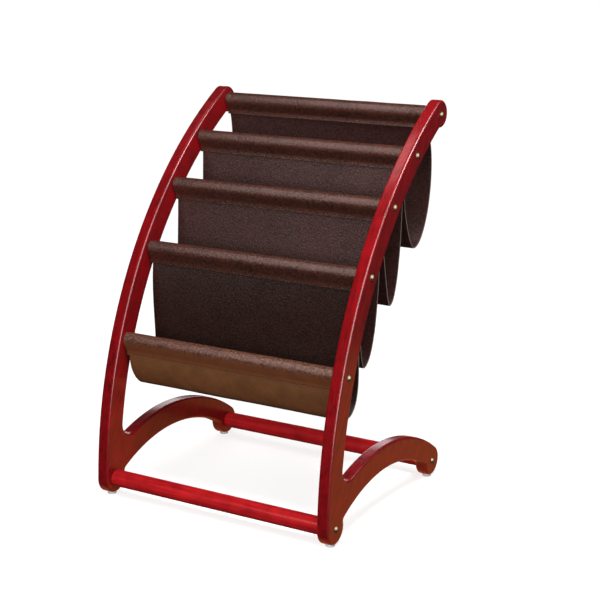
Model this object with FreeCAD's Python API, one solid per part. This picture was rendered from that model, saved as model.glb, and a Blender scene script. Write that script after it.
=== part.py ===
import FreeCAD, Part
import math
import os

# Periodical display rack: two sawn wooden side frames, bolted together by seven
# cross rods, with four leather slings that hang between the upper five rods.
# Millimetres, +Z up, front towards -Y, X across the rack. The origin is on the
# floor, below the middle of the rack's overall depth.

V = FreeCAD.Vector

# ---- Driving dimensions: side frames ----
rack_height = 795.2          # floor to the top of the heads
inner_width = 490.0          # clear width between the two side frames
board_thickness = 26.0
edge_round = 5.0             # rounding along both faces of each side frame
bow_width = 48.0             # width of the bowed upright, front edge to rear edge
bow_centre_height = 7.0      # height of the bow's centre of curvature
head_radius = 28.0           # rounded head, around the top rod
head_notch_round = 8.0       # hollow where the head stands out behind the upright
foot_radius = 30.5           # rounded end of each foot
foot_spacing = 410.0         # front stretcher to rear stretcher
arch_crown_height = 137.0    # highest point of the arched rear leg
arch_crown_share = 0.468     # its place, 0 at the front stretcher and 1 at the rear one
arch_soffit_height = 88.0    # highest point of the arch's underside
arch_soffit_share = 0.48     # and its place, in the same way
arch_spring_height = 36.5    # underside, where it reaches the inner side of the rear foot
crotch_round = 26.0          # hollow between the upright and the arch
foot_notch_round = 6.0       # hollow where a foot meets the arch's underside

# ---- Driving dimensions: rods ----
sling_rod_diameter = 25.0
stretcher_diameter = 34.0
top_rod_angle = 59.2         # places along the bow, from the horizontal, in degrees
second_rod_angle = 51.0
third_rod_angle = 42.7
fourth_rod_angle = 33.0
fifth_rod_angle = 20.4

# ---- Driving dimensions: leather ----
leather_thickness = 2.5
leather_gap = 0.1            # between two layers that are sewn together
cover_fit = 0.3              # between a rod and its leather cover
cover_end_gap = 1.0          # between a cover's end and the side frame
cover_neck = 6.5             # from the bottom of the wrapped rod down to where the two tails meet
cover_tail = 9.5             # length of the tails below that
sling_end_gap = 5.0          # between a sling's edge and the side frame
sling_tuck_gap = 1.0         # between a sling's sewn edge and the place where the tails meet

# ---- Driving dimensions: how the slings hang ----
# Drop: bottom of the pocket, below its front rod. Lie: place of that bottom between
# the two rods, 0 at the front one. Lean: how far a panel leaves its seam from straight
# down, towards the rear, in degrees. Hold: share of the drop that the lean lasts for.
# Fullness: how squarely the panel turns into the bottom.
top_drop = 199.5
top_lie = 0.485
top_rear_lean = 34.0
top_rear_hold = 0.30
top_rear_fullness = 1.08
top_front_lean = 0.0
second_drop = 208.5
second_lie = 0.442
second_rear_lean = 0.0
second_rear_fullness = 0.60
second_front_lean = 11.0
third_drop = 190.0
third_lie = 0.28
third_rear_lean = 0.0
third_rear_fullness = 0.67
third_front_lean = 4.5
bottom_drop = 100.5
bottom_lie = 0.50
bottom_rear_lean = 1.5
bottom_rear_fullness = 1.70
bottom_front_lean = -2.0
rear_hold = 0.50             # of the second, third and bottom slings
front_hold = 0.60
front_fullness = 0.30
panel_steps = 12             # points along each panel's curve

# ---- Driving dimensions: thread ----
stitch_length = 5.0
stitch_pitch = 8.0
stitch_width = 1.0
stitch_thickness = 0.5
stitch_row = 5.0             # row of stitches, below the place where the tails meet

# ---- Driving dimensions: bolts, insert nuts and glides ----
bolt_diameter = 6.0
bolt_head_diameter = 14.0
bolt_head_height = 3.5
bolt_hole_clearance = 0.25   # around the bolt in the side frame
hex_key_size = 4.0
hex_key_depth = 2.0
insert_diameter = 10.0
insert_length = 18.0
bolt_tip_gap = 4.0           # from the bolt's tip to the far end of its insert nut
insert_fit = 0.05            # around the insert nut in its rod
thread_fit = 0.05            # around the bolt in its insert nut
glide_height = 5.0           # what the glides lift the feet off the floor
glide_diameter = 18.0
glide_recess = 2.0           # depth of the flat seat cut into the foot
glide_round = 1.5
glide_nail_diameter = 2.5
glide_nail_length = 14.0
glide_fit = 0.05             # around each glide's pad and nail in the foot

# ---- Derived places, in the YZ plane ----
inner_face = inner_width / 2
outer_face = inner_face + board_thickness
top_rod_height = rack_height - head_radius
top_rod_radius = (top_rod_height - bow_centre_height) / math.sin(math.radians(top_rod_angle))
front_edge_radius = top_rod_radius + head_radius
bow_radius = front_edge_radius - bow_width / 2
rear_edge_radius = front_edge_radius - bow_width
foot_height = glide_height + foot_radius
front_foot_reach = math.sqrt((front_edge_radius - foot_radius) ** 2 - (foot_height - bow_centre_height) ** 2)
head_reach = front_foot_reach - top_rod_radius * math.cos(math.radians(top_rod_angle)) + head_radius
rear_reach = max(head_reach, foot_spacing + foot_radius)

front_foot = (-(rear_reach - foot_radius) / 2, foot_height)
rear_foot = (front_foot[0] + foot_spacing, foot_height)
bow_centre = (front_foot[0] + front_foot_reach, bow_centre_height)

cover_inner_radius = sling_rod_diameter / 2 + cover_fit
cover_outer_radius = cover_inner_radius + leather_thickness
pinch_depth = cover_outer_radius + cover_neck
seam_depth = pinch_depth + cover_tail
tuck_depth = pinch_depth + sling_tuck_gap
layer_offset = (leather_thickness + leather_gap) / 2


def on_bow(angle, radius):
    """Point on the bow, at an angle above the horizontal."""
    turn = math.radians(180 - angle)
    return (bow_centre[0] + radius * math.cos(turn), bow_centre[1] + radius * math.sin(turn))


rods = {
    "top": on_bow(top_rod_angle, top_rod_radius),
    "second": on_bow(second_rod_angle, bow_radius),
    "third": on_bow(third_rod_angle, bow_radius),
    "fourth": on_bow(fourth_rod_angle, bow_radius),
    "fifth": on_bow(fifth_rod_angle, bow_radius),
}
stretchers = {"front": front_foot, "rear": rear_foot}

# Each sling: its rear rod and front rod, its bottom, then its rear and front panels.
slings = {
    "top": ("top", "second", (top_drop, top_lie),
            (top_rear_lean, top_rear_hold, top_rear_fullness),
            (top_front_lean, front_hold, front_fullness)),
    "second": ("second", "third", (second_drop, second_lie),
               (second_rear_lean, rear_hold, second_rear_fullness),
               (second_front_lean, front_hold, front_fullness)),
    "third": ("third", "fourth", (third_drop, third_lie),
              (third_rear_lean, rear_hold, third_rear_fullness),
              (third_front_lean, front_hold, front_fullness)),
    "bottom": ("fourth", "fifth", (bottom_drop, bottom_lie),
               (bottom_rear_lean, rear_hold, bottom_rear_fullness),
               (bottom_front_lean, front_hold, front_fullness)),
}


# ---- Plane geometry ----
def polar(centre, radius, angle):
    turn = math.radians(angle)
    return (centre[0] + radius * math.cos(turn), centre[1] + radius * math.sin(turn))


def heading(start, end):
    """Direction from one point to another, in degrees."""
    return math.degrees(math.atan2(end[1] - start[1], end[0] - start[0]))


def circles_meet(a, radius_a, b, radius_b, side):
    """Point where two circles cross: side 1 is left of the line from a to b, -1 is right."""
    distance = math.dist(a, b)
    along = (distance ** 2 + radius_a ** 2 - radius_b ** 2) / (2 * distance)
    across = side * math.sqrt(radius_a ** 2 - along ** 2)
    ahead = ((b[0] - a[0]) / distance, (b[1] - a[1]) / distance)
    return (a[0] + along * ahead[0] - across * ahead[1], a[1] + along * ahead[1] + across * ahead[0])


def arc(centre, radius, start, end, turn):
    """Arc edge in the YZ plane: turn 1 runs anticlockwise, -1 clockwise."""
    sweep = ((end - start) * turn) % 360 * turn
    points = [polar(centre, radius, start + sweep * share) for share in (0, 0.5, 1)]
    return Part.Arc(*[V(0, y, z) for y, z in points]).toShape()


def line(start, end):
    return Part.makeLine(V(0, start[0], start[1]), V(0, end[0], end[1]))


def across(section, start, end):
    """Solid from a face in the YZ plane, drawn across the rack."""
    face = section.copy()
    face.translate(V(start, 0, 0))
    return face.extrude(V(end - start, 0, 0))


def rod_along_x(place, radius, start, end):
    return Part.makeCylinder(radius, end - start, V(start, place[0], place[1]), V(1, 0, 0))


# ---- Side frames ----
def arch_top_circle():
    """Circle over the arch: highest at the crown, and tangent to the rear foot's round."""
    crown_y = front_foot[0] + arch_crown_share * foot_spacing
    run = rear_foot[0] - crown_y
    fall = arch_crown_height - foot_height
    radius = (run ** 2 + fall ** 2 - foot_radius ** 2) / (2 * (fall - foot_radius))
    return (crown_y, arch_crown_height - radius), radius


def soffit_circle():
    """Circle under the arch: highest at its place, and down to its spring at the rear foot."""
    top_y = front_foot[0] + arch_soffit_share * foot_spacing
    run = rear_foot[0] - foot_radius - top_y
    fall = arch_soffit_height - arch_spring_height
    radius = (run ** 2 + fall ** 2) / (2 * fall)
    return (top_y, arch_soffit_height - radius), radius


def side_outline():
    """Outline of a side frame, clockwise from the front foot up the front edge."""
    head = rods["top"]
    arch, arch_radius = arch_top_circle()
    soffit, soffit_radius = soffit_circle()
    notch = circles_meet(bow_centre, rear_edge_radius - head_notch_round,
                         head, head_radius + head_notch_round, 1)
    crotch = circles_meet(bow_centre, rear_edge_radius - crotch_round,
                          arch, arch_radius + crotch_round, -1)
    rear_notch = circles_meet(rear_foot, foot_radius + foot_notch_round,
                              soffit, soffit_radius - foot_notch_round, -1)
    front_notch = circles_meet(front_foot, foot_radius + foot_notch_round,
                               soffit, soffit_radius - foot_notch_round, 1)
    foot_tangent = heading(bow_centre, front_foot)
    head_tangent = heading(bow_centre, head)
    edges = [
        arc(bow_centre, front_edge_radius, foot_tangent, head_tangent, -1),
        arc(head, head_radius, head_tangent, heading(head, notch), -1),
        arc(notch, head_notch_round, heading(notch, head), heading(bow_centre, notch), 1),
        arc(bow_centre, rear_edge_radius, heading(bow_centre, notch), heading(bow_centre, crotch), 1),
        arc(crotch, crotch_round, heading(bow_centre, crotch), heading(crotch, arch), 1),
        arc(arch, arch_radius, heading(arch, crotch), heading(arch, rear_foot), -1),
        arc(rear_foot, foot_radius, heading(arch, rear_foot), heading(rear_foot, rear_notch), -1),
        arc(rear_notch, foot_notch_round, heading(rear_notch, rear_foot), heading(soffit, rear_notch), 1),
        arc(soffit, soffit_radius, heading(soffit, rear_notch), heading(soffit, front_notch), 1),
        arc(front_notch, foot_notch_round, heading(soffit, front_notch), heading(front_notch, front_foot), 1),
        arc(front_foot, foot_radius, heading(front_foot, front_notch), foot_tangent, -1),
    ]
    return Part.Wire(edges)


def side_frame(side):
    """Side frame: side 1 is on the right, -1 on the left."""
    board = across(Part.Face(side_outline()), inner_face, outer_face)
    rims = []
    for face_x in (inner_face, outer_face):
        rims += [edge for edge in board.Edges
                 if abs(edge.BoundBox.XMin - face_x) < 0.01 and abs(edge.BoundBox.XMax - face_x) < 0.01]
    board = board.makeFillet(edge_round, rims)
    hole_radius = bolt_diameter / 2 + bolt_hole_clearance
    for place in list(rods.values()) + list(stretchers.values()):
        board = board.cut(rod_along_x(place, hole_radius, inner_face, outer_face))
    for place in stretchers.values():
        board = board.cut(glide_seat(place))
    if side < 0:
        board = board.mirror(V(0, 0, 0), V(1, 0, 0))
    return board


# ---- Glides ----
def glide_seat(place):
    """Flat seat for a glide's pad, with the hole for its nail."""
    middle = inner_face + board_thickness / 2
    floor_point = V(middle, place[0], 0)
    seat_top = glide_height + glide_recess
    seat = Part.makeCylinder(glide_diameter / 2 + glide_fit, seat_top, floor_point)
    hole_top = seat_top + glide_nail_length + glide_fit
    hole = Part.makeCylinder(glide_nail_diameter / 2 + glide_fit, hole_top, floor_point)
    return seat.fuse(hole)


def glide(x, y):
    """Plastic glide: a rounded pad with a nail that is driven up into the foot."""
    pad = Part.makeCylinder(glide_diameter / 2, glide_height + glide_recess, V(x, y, 0))
    pad = pad.makeFillet(glide_round, [edge for edge in pad.Edges if edge.BoundBox.ZMax < 0.01])
    nail = Part.makeCylinder(glide_nail_diameter / 2, glide_nail_length, V(x, y, glide_height + glide_recess))
    return pad.fuse(nail)


# ---- Rods, insert nuts and bolts ----
def rod(place, diameter):
    """Wooden rod between the side frames, bored at both ends for its insert nuts."""
    body = rod_along_x(place, diameter / 2, -inner_face, inner_face)
    bore = insert_diameter / 2 + insert_fit
    body = body.cut(rod_along_x(place, bore, -inner_face, -inner_face + insert_length))
    return body.cut(rod_along_x(place, bore, inner_face - insert_length, inner_face))


def insert_nut(place, side):
    body = rod_along_x(place, insert_diameter / 2, inner_face - insert_length, inner_face)
    body = body.cut(rod_along_x(place, bolt_diameter / 2 + thread_fit, inner_face - insert_length, inner_face))
    return body if side > 0 else body.mirror(V(0, 0, 0), V(1, 0, 0))


def bolt(place, side):
    """Connector bolt with a domed head and a hexagon socket."""
    dome_radius = ((bolt_head_diameter / 2) ** 2 + bolt_head_height ** 2) / (2 * bolt_head_height)
    dome_centre = V(outer_face + bolt_head_height - dome_radius, place[0], place[1])
    head = Part.makeSphere(dome_radius, dome_centre)
    head = head.common(rod_along_x(place, bolt_head_diameter, outer_face, outer_face + bolt_head_height))
    corners = [polar(place, hex_key_size / math.sqrt(3), 60 * corner) for corner in range(7)]
    socket = Part.Face(Part.makePolygon([V(0, y, z) for y, z in corners]))
    top = outer_face + bolt_head_height
    head = head.cut(across(socket, top - hex_key_depth, top))
    tip = inner_face - insert_length + bolt_tip_gap
    shank = rod_along_x(place, bolt_diameter / 2, tip, outer_face)
    body = head.fuse(shank)
    return body if side > 0 else body.mirror(V(0, 0, 0), V(1, 0, 0))


# ---- Leather ----
def layers_at(name):
    """Number of sling edges that are sewn into one rod's cover."""
    return sum(name in (rear, front) for rear, front, *rest in slings.values())


def seam_half_gap(name):
    """Half of the space between the two tails of a cover."""
    layers = layers_at(name)
    return (layers * leather_thickness + (layers + 1) * leather_gap) / 2


def cover_surface(place, radius, half_gap, tangent):
    """One surface of a cover: up its front tail, over the rod, and down its rear tail."""
    slope = math.radians(tangent)
    pinch_height = place[1] + (radius - half_gap * math.cos(slope)) / math.sin(slope)
    tail_end = place[1] - seam_depth
    front_y = place[0] - half_gap
    rear_y = place[0] + half_gap
    return [
        line((front_y, tail_end), (front_y, pinch_height)),
        line((front_y, pinch_height), polar(place, radius, 180 - tangent)),
        arc(place, radius, 180 - tangent, tangent, -1),
        line(polar(place, radius, tangent), (rear_y, pinch_height)),
        line((rear_y, pinch_height), (rear_y, tail_end)),
    ]


def rod_cover(name):
    """Leather sleeve: it wraps over its rod, and its tails meet below around the slings' edges."""
    place = rods[name]
    inner_gap = seam_half_gap(name)
    outer_gap = inner_gap + leather_thickness
    reach = math.hypot(outer_gap, pinch_depth)
    tangent = math.degrees(math.acos(cover_outer_radius / reach) - math.atan2(pinch_depth, outer_gap))
    tail_end = place[1] - seam_depth
    edges = cover_surface(place, cover_outer_radius, outer_gap, tangent)
    edges += cover_surface(place, cover_inner_radius, inner_gap, tangent)
    for side in (-1, 1):
        edges.append(line((place[0] + side * inner_gap, tail_end), (place[0] + side * outer_gap, tail_end)))
    end = inner_face - cover_end_gap
    return across(Part.Face(Part.Wire(Part.__sortEdges__(edges))), -end, end)


def panel_curve(seam, bottom, lean, hold, fullness):
    """Curve of one panel: down from its seam, then round to the pocket's bottom."""
    held = hold * (seam[1] - bottom[1])
    run = seam[0] - bottom[0]
    poles = [seam, (seam[0] + held * math.tan(math.radians(lean)), seam[1] - held),
             (bottom[0] + fullness * run, bottom[1]), bottom]
    curve = Part.BezierCurve()
    curve.setPoles([V(0, y, z) for y, z in poles])
    return curve


def offset_points(curve, distance):
    """Points beside a panel's curve, on its left for a positive distance, square across its seam."""
    points = [curve.value(0) + V(0, distance, 0)]
    for step in range(1, panel_steps + 1):
        at = step / panel_steps
        ahead = curve.tangent(at)[0]
        points.append(curve.value(at) + V(0, -ahead.z, ahead.y) * distance)
    return points


def sling(name):
    """Leather sling: a pocket hung between two rods, with both its edges sewn into their covers."""
    rear, front, (drop, lie), rear_panel, front_panel = slings[name]
    rear_y = rods[rear][0] - (layer_offset if layers_at(rear) > 1 else 0)
    front_y = rods[front][0] + (layer_offset if layers_at(front) > 1 else 0)
    bottom = (front_y + lie * (rear_y - front_y), rods[front][1] - drop)
    rear_curve = panel_curve((rear_y, rods[rear][1] - seam_depth), bottom, *rear_panel)
    front_curve = panel_curve((front_y, rods[front][1] - seam_depth), bottom, *front_panel)
    half = leather_thickness / 2
    edges = []
    for side in (-1, 1):
        rear_points = offset_points(rear_curve, side * half)
        front_points = offset_points(front_curve, -side * half)
        surface = Part.BSplineCurve()
        surface.interpolate(rear_points + front_points[-2::-1])
        edges.append(surface.toShape())
    for rod_name, y in ((rear, rear_y), (front, front_y)):
        seam = rods[rod_name][1] - seam_depth
        tuck = rods[rod_name][1] - tuck_depth
        edges.append(line((y - half, seam), (y - half, tuck)))
        edges.append(line((y + half, seam), (y + half, tuck)))
        edges.append(line((y - half, tuck), (y + half, tuck)))
    end = inner_face - sling_end_gap
    return across(Part.Face(Part.Wire(Part.__sortEdges__(edges))), -end, end)


def seam_stitches(name):
    """Two rows of stitches, on the front and the rear of a cover's tails."""
    place = rods[name]
    surface = seam_half_gap(name) + leather_thickness
    row = place[1] - pinch_depth - stitch_row
    count = int((inner_width - 2 * sling_end_gap) // stitch_pitch) - 1
    stitches = []
    for number in range(count):
        x = (number - (count - 1) / 2) * stitch_pitch - stitch_length / 2
        for y in (place[0] - surface - stitch_thickness, place[0] + surface):
            corner = V(x, y, row - stitch_width / 2)
            stitches.append(Part.makeBox(stitch_length, stitch_thickness, stitch_width, corner))
    return Part.makeCompound(stitches)


# ---- Build ----
def save(shape, node):
    shape.exportStep("parts/" + node + ".step")


os.makedirs("parts", exist_ok=True)
joined = list(rods.values()) + list(stretchers.values())
foot_x = inner_face + board_thickness / 2

for side_name, side in (("left", -1), ("right", 1)):
    save(side_frame(side), side_name + "_side_frame")
    save(Part.makeCompound([bolt(place, side) for place in joined]), side_name + "_frame_bolts")
    save(Part.makeCompound([insert_nut(place, side) for place in joined]), side_name + "_insert_nuts")
for name, place in rods.items():
    save(rod(place, sling_rod_diameter), name + "_rod")
    save(rod_cover(name), name + "_rod_cover")
    save(seam_stitches(name), name + "_seam_stitches")
for name, place in stretchers.items():
    save(rod(place, stretcher_diameter), name + "_stretcher")
for name in slings:
    save(sling(name), name + "_sling")
glides = [glide(x, place[0]) for x in (-foot_x, foot_x) for place in stretchers.values()]
save(Part.makeCompound(glides), "floor_glides")
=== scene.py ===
import math
import bmesh
import bpy
from mathutils import Matrix, Vector, noise


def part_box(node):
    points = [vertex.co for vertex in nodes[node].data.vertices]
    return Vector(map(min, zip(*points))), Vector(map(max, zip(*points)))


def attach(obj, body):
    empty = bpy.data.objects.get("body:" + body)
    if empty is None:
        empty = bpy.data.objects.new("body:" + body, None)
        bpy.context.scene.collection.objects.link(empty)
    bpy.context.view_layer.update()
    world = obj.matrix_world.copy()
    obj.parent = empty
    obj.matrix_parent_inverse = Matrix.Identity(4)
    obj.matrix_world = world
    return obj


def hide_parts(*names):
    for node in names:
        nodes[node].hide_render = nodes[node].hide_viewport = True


# Periodical display rack. The rods, stretchers, bolts, insert nuts and glides keep their shapes
# and get their finishes here. The two side boards are drawn again from their own outline. The
# leather and the thread are made here.
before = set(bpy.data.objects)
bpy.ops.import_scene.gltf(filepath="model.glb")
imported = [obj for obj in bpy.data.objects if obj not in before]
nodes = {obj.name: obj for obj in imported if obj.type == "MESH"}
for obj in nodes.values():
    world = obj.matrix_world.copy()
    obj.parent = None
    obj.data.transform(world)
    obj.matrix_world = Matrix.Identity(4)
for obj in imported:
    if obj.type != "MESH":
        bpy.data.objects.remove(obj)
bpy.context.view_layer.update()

MM = 0.001
leather_thickness = 2.5 * MM
sewn_gap = 0.1 * MM             # between two layers that are sewn together
cover_fit = 0.3 * MM            # between a rod and its cover
stitch_row = 5 * MM             # row of stitches, below the place where a cover's tails meet
rim_round = 5 * MM              # rounding along both faces of a side board
glide_height = 5 * MM           # what the glides lift the feet off the floor


def middle(node):
    """Centre of a node, in the YZ plane."""
    low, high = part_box(node)
    return Vector((0, (low.y + high.y) / 2, (low.z + high.z) / 2))


rod_names = ("top", "second", "third", "fourth", "fifth")
rods = {name: middle(name + "_rod") for name in rod_names}
stretchers = [middle("front_stretcher"), middle("rear_stretcher")]
rod_radius = (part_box("top_rod")[1].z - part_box("top_rod")[0].z) / 2
cover_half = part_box("top_rod_cover")[1].x
sling_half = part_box("top_sling")[1].x
seam_depth = rods["top"].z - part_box("top_rod_cover")[0].z
tuck_depth = rods["top"].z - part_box("top_sling")[1].z
stitch_depth = rods["top"].z - middle("top_seam_stitches").z
wrap_radius = rod_radius + cover_fit + leather_thickness / 2

# Each sling: its rear rod, its front rod, and the place of its bottom between them (0 at the
# front one). Then the lean in degrees and the fullness of its rear panel, at its left edge and
# at its right edge, the hold of that panel, and the lean of its front panel.
slings = {
    "top": ("top", "second", 0.485, (14, 1.02), (34, 1.08), 0.30, 0),
    "second": ("second", "third", 0.442, (-1, 0.62), (0, 0.60), 0.50, 11),
    "third": ("third", "fourth", 0.28, (-2, 0.70), (0, 0.67), 0.50, 4.5),
    "bottom": ("fourth", "fifth", 0.50, (-7, 1.80), (1.5, 1.70), 0.50, -2),
}


def to_object(name, bm, materials):
    """The object that holds a finished bmesh, smooth, with its finishes."""
    for face in bm.faces:
        face.smooth = True
    mesh = bpy.data.meshes.new(name)
    bm.to_mesh(mesh)
    bm.free()
    for material in materials:
        mesh.materials.append(material)
    made = bpy.data.objects.new(name, mesh)
    bpy.context.scene.collection.objects.link(made)
    return made


# ---- Finishes ----
def linear(code):
    """Linear colour from an sRGB hex value."""
    channels = [int(code[i:i + 2], 16) / 255 for i in (1, 3, 5)]
    return [c / 12.92 if c <= 0.04045 else ((c + 0.055) / 1.055) ** 2.4 for c in channels] + [1]


def add(tree, kind, inputs, **settings):
    """A node with its settings, and its inputs set to values or linked to sockets."""
    made = tree.nodes.new(kind)
    for name, value in settings.items():
        setattr(made, name, value)
    fill(tree, made, inputs)
    return made


def fill(tree, node, inputs):
    """Sets a node's inputs to values, or links them to sockets."""
    for name, value in inputs.items():
        if isinstance(value, bpy.types.NodeSocket):
            tree.links.new(value, node.inputs[name])
        else:
            node.inputs[name].default_value = value


def finish(name):
    """An empty finish: its material, its nodes and its shader."""
    material = bpy.data.materials.new(name)
    material.use_nodes = True
    return material, material.node_tree, material.node_tree.nodes["Principled BSDF"]


def stained_wood(name, light, dark, turn, grain_mm, coat):
    """Hardwood with an aniline stain under sprayed lacquer. The stain sinks deeper into the soft
    grain, which gives dark streaks along the board, and takes unevenly, which gives it clouds.
    The lacquer is nearly level and glossy."""
    streak_length = 18          # of a streak, in its widths
    cloud_mm = 30
    material, tree, shader = finish(name)
    place = add(tree, "ShaderNodeTexCoord", {}).outputs["Object"]
    along = add(tree, "ShaderNodeMapping", {
        "Vector": place, "Rotation": turn, "Scale": (1, 1, streak_length)},
        vector_type="TEXTURE").outputs["Vector"]
    streaks = add(tree, "ShaderNodeTexNoise", {
        "Vector": along, "Scale": 1000 / grain_mm, "Detail": 4, "Roughness": 0.6}).outputs["Fac"]
    clouds = add(tree, "ShaderNodeTexNoise", {
        "Vector": place, "Scale": 1000 / cloud_mm, "Detail": 4}).outputs["Fac"]
    depth = add(tree, "ShaderNodeMix", {0: 0.4, 2: streaks, 3: clouds}).outputs[0]
    share = add(tree, "ShaderNodeMapRange", {
        "Value": depth, "From Min": 0.40, "From Max": 0.65}).outputs[0]
    base = add(tree, "ShaderNodeMix", {0: share, 6: linear(light), 7: linear(dark)},
               data_type="RGBA").outputs[2]
    rough = add(tree, "ShaderNodeMapRange", {
        "Value": clouds, "To Min": 0.40, "To Max": 0.55}).outputs[0]
    fill(tree, shader, {
        "Base Color": base, "Roughness": rough, "IOR": 1.5, "Specular IOR Level": 0.15,
        "Coat Weight": coat, "Coat Roughness": 0.2, "Coat IOR": 1.5})
    return material


def grained_leather(name, deep, raised, worn_and_lit_tone, roughness, pebble_mm, painted_light_span=()):
    """Cowhide with an embossed pebble grain under a wax finish: dark valleys, and tops that are
    rubbed lighter and catch the light as small flecks. The pebbles are drawn two to three times the
    size of the hide's, because its own would be too fine to show. Its tone changes in soft patches
    of some 45 mm, towards a second colour. Given a span along an axis, it keeps its grain colours
    on one side of the span and turns far towards the second colour across it: painted warm light,
    for light that falls from below on the pieces at the front."""
    pore_mm = 2
    bend_mm, bend_scale = 5, 160        # how far, and how finely, the pebbles' rows bend
    pebble_depth = 0.12 * pebble_mm * MM
    patch_scale = 22
    least, most = (0.62, 0.92) if painted_light_span else (0.1, 0.5)
    material, tree, shader = finish(name)
    place = add(tree, "ShaderNodeTexCoord", {}).outputs["Object"]
    warp = add(tree, "ShaderNodeTexNoise", {
        "Vector": place, "Scale": bend_scale, "Detail": 2}).outputs["Color"]
    bent = add(tree, "ShaderNodeMix", {0: bend_mm * MM, 6: place, 7: warp},
               data_type="RGBA", blend_type="ADD").outputs[2]
    cells = add(tree, "ShaderNodeTexVoronoi", {
        "Vector": bent, "Scale": 1000 / pebble_mm, "Randomness": 1},
        feature="SMOOTH_F1").outputs["Distance"]
    pores = add(tree, "ShaderNodeTexNoise", {
        "Vector": place, "Scale": 1000 / pore_mm, "Detail": 3}).outputs["Fac"]
    relief = add(tree, "ShaderNodeMath", {0: pores, 1: 0.8, 2: cells},
                 operation="MULTIPLY_ADD").outputs[0]
    valley = add(tree, "ShaderNodeMapRange", {
        "Value": relief, "From Min": 0.5, "From Max": 1.0}).outputs[0]
    base = add(tree, "ShaderNodeMix", {0: valley, 6: linear(raised), 7: linear(deep)},
               data_type="RGBA").outputs[2]
    patches = add(tree, "ShaderNodeTexNoise", {
        "Vector": place, "Scale": patch_scale, "Detail": 5, "Roughness": 0.65}).outputs["Fac"]
    share = add(tree, "ShaderNodeMapRange", {
        "Value": patches, "From Min": 0.38, "From Max": 0.62,
        "To Min": least, "To Max": most}).outputs[0]
    # Painted warm light: across the span the tone turns towards its second colour, as light from
    # below would warm it.
    if painted_light_span:
        axis, start, end = painted_light_span
        along = add(tree, "ShaderNodeSeparateXYZ", {"Vector": place}).outputs[axis]
        share = add(tree, "ShaderNodeMapRange", {
            "Value": along, "From Min": start, "From Max": end, "To Max": share}).outputs[0]
    toned = add(tree, "ShaderNodeMix", {0: share, 6: base, 7: linear(worn_and_lit_tone)},
                data_type="RGBA").outputs[2]
    bump = add(tree, "ShaderNodeBump", {
        "Height": relief, "Strength": 1.0, "Distance": pebble_depth},
        invert=True).outputs["Normal"]
    rough = add(tree, "ShaderNodeMapRange", {
        "Value": patches, "From Min": 0.3, "From Max": 0.7,
        "To Min": roughness + 0.06, "To Max": roughness - 0.06}).outputs[0]
    fill(tree, shader, {"Base Color": toned, "Roughness": rough, "IOR": 1.5, "Normal": bump})
    return material


def mottled(name, colour, other, mottle_mm, relief, values):
    """A finish whose colour and surface only mottle a little, 0.1 mm deep at most."""
    material, tree, shader = finish(name)
    place = add(tree, "ShaderNodeTexCoord", {}).outputs["Object"]
    mottle = add(tree, "ShaderNodeTexNoise", {
        "Vector": place, "Scale": 1000 / mottle_mm, "Detail": 3}).outputs["Fac"]
    mixed = add(tree, "ShaderNodeMix", {0: mottle, 6: linear(colour), 7: linear(other)},
                data_type="RGBA").outputs[2]
    bump = add(tree, "ShaderNodeBump", {
        "Height": mottle, "Strength": relief, "Distance": 0.1 * MM}).outputs["Normal"]
    fill(tree, shader, {"Base Color": mixed, "Normal": bump, **values})
    return material


# The grain runs up the side boards' uprights, and along the stretchers.
up_the_frame = (math.radians(-30), 0, 0)
along_the_rod = (0, math.radians(90), 0)
frame_lacquer = stained_wood(
    "lacquered_mahogany_stain", "#B00B16", "#7A050C", up_the_frame, 5, 0.8)
stretcher_lacquer = stained_wood(
    "lacquered_cherry_stain", "#D62024", "#9C0F18", along_the_rod, 6, 0.25)
# Turned beech, sanded and left bare: pale, dry, with short flecks.
bare_beech = mottled(
    "bare_beech", "#B98E62", "#A67A4E", 3, 0.15, {"Roughness": 0.6, "IOR": 1.5})
cover_leather = grained_leather(
    "waxed_cowhide_covers", "#3E221C", "#6F4337", "#6B3E32", 0.34, 4.5)
# The front cover: a lighter, warmer copy of the covers' leather, turning warmer still down its
# lower half: painted warm light from below.
front_cover_leather = grained_leather(
    "waxed_cowhide_front_cover", "#5C3729", "#96604C", "#9A5E36", 0.36, 4,
    ("Z", rods["fifth"].z + 2 * MM, rods["fifth"].z - 8 * MM))
sling_leather = grained_leather(
    "waxed_cowhide_slings", "#311C1A", "#5C3C38", "#553530", 0.42, 3.5)
# The bottom sling: darker than the other slings, painted shade inside the bottom pocket, and warmer
# towards its front, painted warm light from below.
front_sling_leather = grained_leather(
    "waxed_cowhide_front_sling", "#2A1712", "#442820", "#9A653A", 0.46, 3.5,
    ("Y", -125 * MM, -145 * MM))
# Cut edges of the hide, left raw: fibrous, pale and dry.
raw_edge = mottled(
    "raw_hide_edge", "#B0A29A", "#85736A", 0.8, 0.4, {"Roughness": 0.85, "IOR": 1.45})
# Cut edges of the hide, dyed and rubbed with wax: dark, with a dull shine, and darker still as
# painted shade where the upper covers' tails hang in the shadow of their rods.
burnished_and_shaded_edge = mottled(
    "burnished_and_shaded_hide_edge", "#2E1A14", "#20110D", 1.5, 0.2, {"Roughness": 0.6, "IOR": 1.5})
# The same edges where the wax has worn off: brown and dry.
worn_edge = mottled(
    "worn_hide_edge", "#A07C66", "#856450", 1.5, 0.2, {"Roughness": 0.8, "IOR": 1.45})
# Waxed linen thread, twisted: dull, with small lumps.
linen_thread = mottled(
    "waxed_linen_thread", "#4A2C22", "#38211A", 0.6, 0.5, {"Roughness": 0.5, "IOR": 1.5})
# Steel, nickel plated and barrel polished: warm, bright, a little soft.
nickel = mottled(
    "nickel_plated_steel", "#D8D0B8", "#C4BA9C", 2.5, 0.03, {"Metallic": 1, "Roughness": 0.35})
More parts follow.
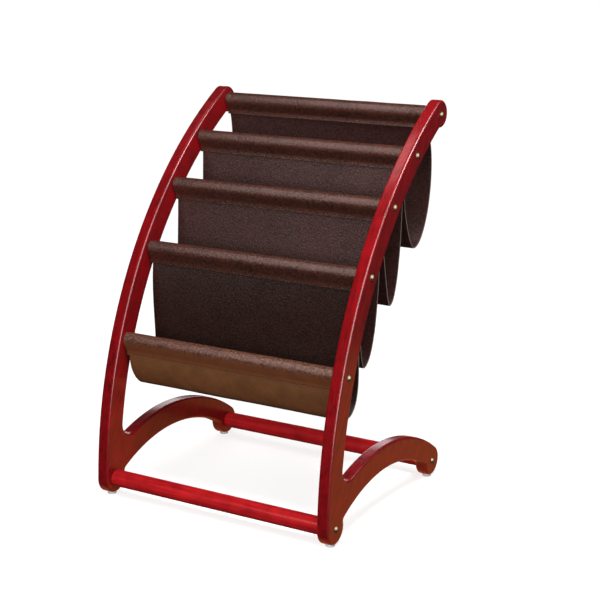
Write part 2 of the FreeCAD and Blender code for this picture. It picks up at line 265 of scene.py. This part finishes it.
# Turned brass, left plain: yellow, with a dull skin.
plain_brass = mottled(
    "turned_brass", "#C9A45A", "#B58E44", 2, 0.05, {"Metallic": 1, "Roughness": 0.35})
# Moulded nylon: milky, with a satin skin.
nylon = mottled(
    "moulded_nylon", "#DCE2E2", "#CBD2D2", 4, 0.05, {"Roughness": 0.45, "IOR": 1.53})

for names, material in (
        (("front_stretcher", "rear_stretcher"), stretcher_lacquer),
        (("left_frame_bolts", "right_frame_bolts"), nickel),
        (("left_insert_nuts", "right_insert_nuts"), plain_brass),
        (("floor_glides",), nylon),
        ([name + "_rod" for name in rod_names], bare_beech)):
    for name in names:
        nodes[name].data.materials.clear()
        nodes[name].data.materials.append(material)


# ---- Side boards ----
same_point = 0.01 * MM          # the solid's faces share points this close
past_rounding = 0.2 * MM        # beyond the rounding, where the outline has its full size
hole_reach = 5 * MM             # from a bolt's middle to beyond its hole
seat_reach = 5 * MM             # from a foot's middle to beyond its glide's seat
close_points = 0.7 * MM         # closer points of the outline would spoil the rounding
rim_steps = 6


def side_board(node):
    """A side frame's board: its outline cut from the solid, drawn across again, with both rims
    rounded evenly. The bolts and glides fill its holes and seats, so those are left out."""
    low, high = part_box(node)
    bm = bmesh.new()
    bm.from_mesh(nodes[node].data)
    bmesh.ops.remove_doubles(bm, verts=bm.verts, dist=same_point)
    bmesh.ops.bisect_plane(
        bm, geom=bm.verts[:] + bm.edges[:] + bm.faces[:], plane_no=(1, 0, 0),
        plane_co=(low.x + rim_round + past_rounding, 0, 0), clear_inner=True, clear_outer=True)
    bolts = list(rods.values()) + stretchers
    holes = [v for v in bm.verts if min(math.dist(v.co.yz, b.yz) for b in bolts) < hole_reach]
    bmesh.ops.delete(bm, geom=holes, context="VERTS")
    for vertex in bm.verts:
        vertex.co.x = low.x
        for foot in stretchers:
            aside = vertex.co.y - foot.y
            if abs(aside) < seat_reach and vertex.co.z < foot.z:
                vertex.co.z = foot.z - math.sqrt((foot.z - glide_height) ** 2 - aside ** 2)
    bmesh.ops.remove_doubles(bm, verts=bm.verts, dist=close_points)
    bmesh.ops.contextual_create(bm, geom=bm.edges[:])
    drawn = bmesh.ops.extrude_face_region(bm, geom=bm.faces[:])["geom"]
    bmesh.ops.translate(bm, verts=[g for g in drawn if isinstance(g, bmesh.types.BMVert)],
                        vec=(high.x - low.x, 0, 0))
    bmesh.ops.recalc_face_normals(bm, faces=bm.faces)
    rims = [e for e in bm.edges if abs(e.verts[0].co.x - e.verts[1].co.x) < rim_round]
    bmesh.ops.bevel(bm, geom=rims, offset=rim_round, offset_type="OFFSET", segments=rim_steps,
                    profile=0.5, affect="EDGES", material=-1)
    board = to_object(node + "_board", bm, [frame_lacquer])
    # The flat faces stay flat, and the roundings run smoothly into them.
    board.modifiers.new("flat_faces", "WEIGHTED_NORMAL").weight = 100
    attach(board, "root")
    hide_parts(node)
    return board


boards = [side_board("left_side_frame"), side_board("right_side_frame")]


# ---- Leather ----
curve_steps = 40                # along each panel's curve
front_hold, front_fullness = 0.6, 0.3
wrap_steps = 24                 # over each half of a wrapped rod
edge_round = 0.7 * MM           # along the cut edges of the hide


def cubic(poles, count):
    """Points along a cubic curve."""
    points = []
    for step in range(count + 1):
        t = step / count
        weights = ((1 - t) ** 3, 3 * (1 - t) ** 2 * t, 3 * (1 - t) * t * t, t ** 3)
        points.append(sum((pole * weight for pole, weight in zip(poles, weights)), Vector()))
    return points


def length_of(points):
    return sum((b - a).length for a, b in zip(points, points[1:]))


def spread(points, count):
    """The same line as evenly spaced points."""
    step = length_of(points) / count
    found = [points[0]]
    left = step
    for a, b in zip(points, points[1:]):
        run = (b - a).length
        while left <= run + 1e-9 and len(found) < count:
            found.append(a.lerp(b, left / run))
            left += step
        left -= run
    return found + [points[-1]]


def ease(points, times):
    """The same line with its corners eased; its ends stay."""
    for _ in range(times):
        inner = [(a + b * 2 + c) / 4 for a, b, c in zip(points, points[1:], points[2:])]
        points = [points[0]] + inner + [points[-1]]
    return points


def panel(seam, bottom, lean, hold, fullness):
    """The four poles of a panel's curve, from its seam to the bottom of the pocket."""
    held = hold * (seam.z - bottom.z)
    return [seam, seam + Vector((0, held * math.tan(math.radians(lean)), -held)),
            Vector((0, bottom.y + fullness * (seam.y - bottom.y), bottom.z)), bottom]


def sling_line(name, share):
    """Middle of a sling's leather, from its rear edge down and up to its front edge, where share
    is 0 at its left side and 1 at its right side."""
    rear, front, lie, left, right, hold, front_lean = slings[name]
    layer = (leather_thickness + sewn_gap) / 2
    rear_y = rods[rear].y - (layer if rear != "top" else 0)
    front_y = rods[front].y + (layer if front != "fifth" else 0)
    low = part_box(name + "_sling")[0].z + leather_thickness / 2
    bottom = Vector((0, front_y + lie * (rear_y - front_y), low))
    lean, fullness = (a + share * (b - a) for a, b in zip(left, right))
    rear_seam = Vector((0, rear_y, rods[rear].z - seam_depth))
    front_seam = Vector((0, front_y, rods[front].z - seam_depth))
    rear_panel = panel(rear_seam, bottom, lean, hold, fullness)
    front_panel = panel(front_seam, bottom, front_lean, front_hold, front_fullness)
    line = [Vector((0, rear_y, rods[rear].z - tuck_depth))]
    line += cubic(rear_panel, curve_steps)
    line += cubic(front_panel, curve_steps)[-2::-1]
    return line + [Vector((0, front_y, rods[front].z - tuck_depth))]


def cover_line(name):
    """Middle of a cover's leather, from the end of its front tail over the rod to the end of its
    rear tail. The tails lie against the one or two sling edges between them."""
    rod = rods[name]
    layers = sum(name in sling[:2] for sling in slings.values())
    gap = (layers * leather_thickness + (layers + 1) * sewn_gap + leather_thickness) / 2
    pinch = stitch_depth - stitch_row
    tangent = math.acos(wrap_radius / math.hypot(gap, pinch)) - math.atan2(pinch, gap)
    half = []
    for step in range(wrap_steps + 1):
        turn = math.pi / 2 + (tangent - math.pi / 2) * step / wrap_steps
        half.append(rod + wrap_radius * Vector((0, math.cos(turn), math.sin(turn))))
    half += [rod + Vector((0, gap, -pinch)), rod + Vector((0, gap, -seam_depth))]
    front_half = [Vector((0, 2 * rod.y - point.y, point.z)) for point in half]
    return ease(spread(front_half[::-1] + half[1:], 160), 25)


def hide(name, columns, rows, place):
    """A cut sheet of leather with its thickness and its cut edge, laid out by a function of
    column and row."""
    bm = bmesh.new()
    bmesh.ops.create_grid(bm, x_segments=columns, y_segments=rows, size=0.5)
    for vertex in bm.verts:
        vertex.co = place(round((vertex.co.x + 0.5) * columns), round((vertex.co.y + 0.5) * rows))
    piece = to_object(name, bm, finishes[name])
    wall = piece.modifiers.new("thickness", "SOLIDIFY")
    wall.thickness = leather_thickness
    wall.offset = 0
    wall.use_even_offset = True
    wall.material_offset_rim = 1
    edge = piece.modifiers.new("edge", "BEVEL")
    edge.width = edge_round
    edge.segments = 2
    edge.limit_method = "ANGLE"
    edge.angle_limit = math.radians(60)
    edge.material = 1
    edge.harden_normals = True
    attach(piece, "root")
    return piece


def ripple(point, size, reach, seed):
    """A slow, uneven wave in the hide."""
    return reach * noise.noise(Vector((point.x / size + seed, point.y / size, point.z / size)))


# The finish of each piece's grain and of its cut edges.
finishes = {name + "_sling_leather": (sling_leather, raw_edge) for name in slings}
finishes.update({name + "_cover_leather": (cover_leather, burnished_and_shaded_edge) for name in rod_names})
finishes.update({"bottom_sling_leather": (front_sling_leather, raw_edge),
                 "fifth_cover_leather": (front_cover_leather, worn_edge)})

leather = []
columns, rows = 72, 110
for number, name in enumerate(slings):
    lines = [spread(sling_line(name, column / columns), rows) for column in range(columns + 1)]

    def place(column, row):
        """A sling's leather ripples where it hangs free, and lies still at its seams."""
        line = lines[column]
        point = line[row].copy()
        point.x = (2 * column / columns - 1) * sling_half
        ahead = line[min(row + 1, rows)] - line[max(row - 1, 0)]
        out = Vector((0, -ahead.z, ahead.y)).normalized()
        free = math.sin(math.pi * row / rows)
        waves = (ripple(point, 110 * MM, 1.1 * MM, 3 + number)
                 + ripple(point, 35 * MM, 0.3 * MM, 9 + number))
        return point + out * free * waves

    piece = hide(name + "_sling_leather", columns, rows, place)
    leather.append(piece)
    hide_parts(name + "_sling")
    length_of(lines[columns // 2])

columns, rows = 80, 56
for number, name in enumerate(rod_names):
    line = spread(cover_line(name), rows)

    def place(column, row):
        """A cover's leather lies a little proud of its rod, and ripples with it."""
        point = line[row].copy()
        point.x = (2 * column / columns - 1) * cover_half
        out = (line[row] - rods[name]).normalized()
        free = math.sin(math.pi * row / rows)
        return point + out * free * (ripple(point, 50 * MM, 0.3 * MM, 20 + number) + 0.15 * MM)

    piece = hide(name + "_cover_leather", columns, rows, place)
    leather.append(piece)
    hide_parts(name + "_rod_cover")
    length_of(line)


# ---- Thread ----
stitch_pitch = 8 * MM
stitch_length = 5.6 * MM
thread_radius = 0.5 * MM
thread_inset = 0.4 * MM         # from a row's outside to the thread's middle
thread_slant = 5                # of each stitch to its row, in degrees
for name in rod_names:
    low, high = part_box(name + "_seam_stitches")
    count = round((high.x - low.x) / stitch_pitch)
    seam_rows = ((low.y + thread_inset, thread_slant), (high.y - thread_inset, -thread_slant))
    bm = bmesh.new()
    for number in range(count + 1):
        x = (number - count / 2) * stitch_pitch
        for y, slant in seam_rows:
            stitch = bmesh.ops.create_uvsphere(
                bm, u_segments=6, v_segments=6, radius=thread_radius)["verts"]
            bmesh.ops.scale(bm, verts=stitch, vec=(1, 1, stitch_length / 2 / thread_radius))
            turn = Matrix.Rotation(math.radians(90 + slant), 3, "Y")
            bmesh.ops.rotate(bm, verts=stitch, matrix=turn)
            bmesh.ops.translate(bm, verts=stitch, vec=(x, y, (low.z + high.z) / 2))
    piece = to_object(name + "_thread", bm, [linen_thread])
    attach(piece, "root")
    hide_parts(name + "_seam_stitches")


# ---- Studio: floor, lights and camera ----
paper, paper_tree, paper_shader = finish("white_paper")
fill(paper_tree, paper_shader, {
    "Base Color": linear("#FBFBFA"), "Roughness": 0.9, "Specular IOR Level": 0.1})
bm = bmesh.new()
bmesh.ops.create_grid(bm, x_segments=1, y_segments=1, size=60)
floor = to_object("studio_floor", bm, [paper])
floor.visible_glossy = False
floor.visible_diffuse = False

# White behind the rack, with little of it on the rack itself.
world = bpy.data.worlds.new("studio")
bpy.context.scene.world = world
world.use_nodes = True
rays = add(world.node_tree, "ShaderNodeLightPath", {}).outputs
glow = add(world.node_tree, "ShaderNodeMapRange", {
    "Value": rays["Is Glossy Ray"], "To Min": 0.12, "To Max": 0.02}).outputs[0]
seen = add(world.node_tree, "ShaderNodeMath", {0: rays["Is Camera Ray"], 1: glow},
           operation="MAXIMUM").outputs[0]
fill(world.node_tree, world.node_tree.nodes["Background"], {
    "Color": linear("#FFFFFF"), "Strength": seen})


def for_only(light, pieces):
    """Keeps a light for some pieces."""
    light.light_linking.receiver_collection = bpy.data.collections.new(light.name + "_only")
    for piece in pieces:
        light.light_linking.receiver_collection.objects.link(piece)


def softbox(name, place, target, along, size, watts, colour="#FFFFFF", glow=True, shine=True,
            only=(), shadow=True):
    """A rectangular light, its length along a direction, that shows only by what it lights. Glow
    is its diffuse light and shine its reflection. It can be for some pieces only."""
    light = bpy.data.lights.new(name, "AREA")
    light.shape = "RECTANGLE"
    light.size, light.size_y = size
    light.energy = watts
    light.color = linear(colour)[:3]
    light.use_shadow = shadow
    lamp = bpy.data.objects.new(name, light)
    back = (Vector(place) - Vector(target)).normalized()
    side = Vector(along).cross(back).normalized()
    lamp.matrix_world = Matrix((side, back.cross(side), back)).transposed().to_4x4()
    lamp.location = place
    lamp.visible_camera = False
    lamp.visible_diffuse = glow
    lamp.visible_glossy = shine
    bpy.context.scene.collection.objects.link(lamp)
    if only:
        for_only(lamp, only)


ACROSS, BACKWARDS, UP = (1, 0, 0), (0, 1, 0), (0, 0, 1)
bolts = [nodes["left_frame_bolts"], nodes["right_frame_bolts"]]
bars = [nodes["front_stretcher"], nodes["rear_stretcher"]]
glides = [nodes["floor_glides"]]
rack = [piece for piece in bpy.context.scene.objects if piece.type == "MESH" and piece is not floor]

# The light that everything stands in, without reflections.
softbox("key", (0.6, -0.4, 1.6), (0.2, 0, 0.5), BACKWARDS, (0.5, 0.5), 12.3, shine=False)
softbox("front", (0.2, -2.4, 0.9), (0, 0, 0.3), UP, (1.2, 1.0), 16, shine=False)
softbox("right_side", (2.1, -0.6, 1.0), (0.27, 0, 0.5), UP, (1.0, 1.4), 3.1, shine=False)
softbox("rear_fill", (-0.9, 2.2, 1.5), (0, 0.2, 0.4), UP, (1.2, 1.0), 24, shine=False, only=rack)
# More of it for the stretchers, the glides and the insides of the slings.
softbox("bar_light", (-0.15, -1.3, 0.9), (-0.1, 0, 0.05), ACROSS, (0.4, 1.0), 6.2,
        only=bars, shadow=False)
softbox("glide_light", (0.9, -1.6, 0.3), (0.1, 0, 0), ACROSS, (0.6, 0.6), 14,
        only=glides, shadow=False)
softbox("sling_fill", (1.6, -1.9, 1.0), (0.2, 0.1, 0.5), UP, (0.8, 0.8), 5, "#FFF0E6",
        shine=False, only=leather[:len(slings)])
# The reflections: along the tops of the boards, the wrapped rods and the boards' rims, on the
# bolts' heads, on the arched legs, and a warm one low on the boards.
softbox("overhead", (-0.58, 0.03, 2.02), (0.2, 0.05, 0.6), BACKWARDS, (0.5, 0.5), 1.9,
        glow=False, only=boards)
softbox("leather_panel", (-0.5, -0.85, 1.4), (0.2, 0, 0.55), (0, 0.7, 0.7), (0.5, 2.4), 14,
        glow=False, only=leather)
softbox("edge_panel", (1.75, -1.05, 1.2), (0.27, -0.1, 0.6), UP, (1.5, 2.3), 80,
        glow=False, only=boards)
softbox("edge_top", (1.6, 0.35, 2.1), (0.25, 0.1, 0.7), BACKWARDS, (0.9, 0.9), 55,
        glow=False, only=boards)
softbox("bolt_panel", (1.75, 0.1, 0.7), (0.27, 0, 0.4), UP, (2.0, 1.6), 16, "#FFF8EA",
        glow=False, only=bolts)
softbox("left_bolt_panel", (-1.75, 0.1, 0.7), (-0.27, 0, 0.4), UP, (2.0, 1.6), 16, "#FFF8EA",
        glow=False, only=bolts)
softbox("rear_left", (-1.3, 2.0, 0.88), (0, 0, 0.1), UP, (1.2, 0.8), 7, "#FAFAFF",
        glow=False, only=boards)
softbox("floor_glow", (0.33, 0.33, 0.004), (0.33, 0.33, 1), BACKWARDS, (1.25, 1.16), 3.1, "#FF9048",
        glow=False, only=boards)

# The paper floor has a light of its own, so that it stays white right to the back.
sun = bpy.data.lights.new("floor_light", "SUN")
sun.energy = 3.2
sun.use_shadow = False
sun.angle = math.radians(80)
sunlight = bpy.data.objects.new("floor_light", sun)
sunlight.rotation_euler = (math.radians(12), math.radians(-14), 0)
bpy.context.scene.collection.objects.link(sunlight)
for_only(sunlight, [floor])

camera_place = (1.5156, -2.4044, 1.1424)
camera_turn, camera_tilt, camera_roll = (math.radians(a) for a in (30.3493, 90 - 11.9076, -0.0891))
camera_data = bpy.data.cameras.new("camera")
camera_data.sensor_width = 36
camera_data.lens = 86.57
camera_data.shift_x = -0.03
camera_data.shift_y = -0.12
camera_data.clip_end = 200
camera = bpy.data.objects.new("camera", camera_data)
facing = Matrix.Rotation(camera_turn, 4, "Z") @ Matrix.Rotation(camera_tilt, 4, "X")
roll = Matrix.Rotation(camera_roll, 4, "Z")
camera.matrix_world = Matrix.Translation(camera_place) @ facing @ roll
bpy.context.scene.collection.objects.link(camera)
bpy.context.scene.camera = camera
bpy.context.scene.view_settings.view_transform = "Standard"
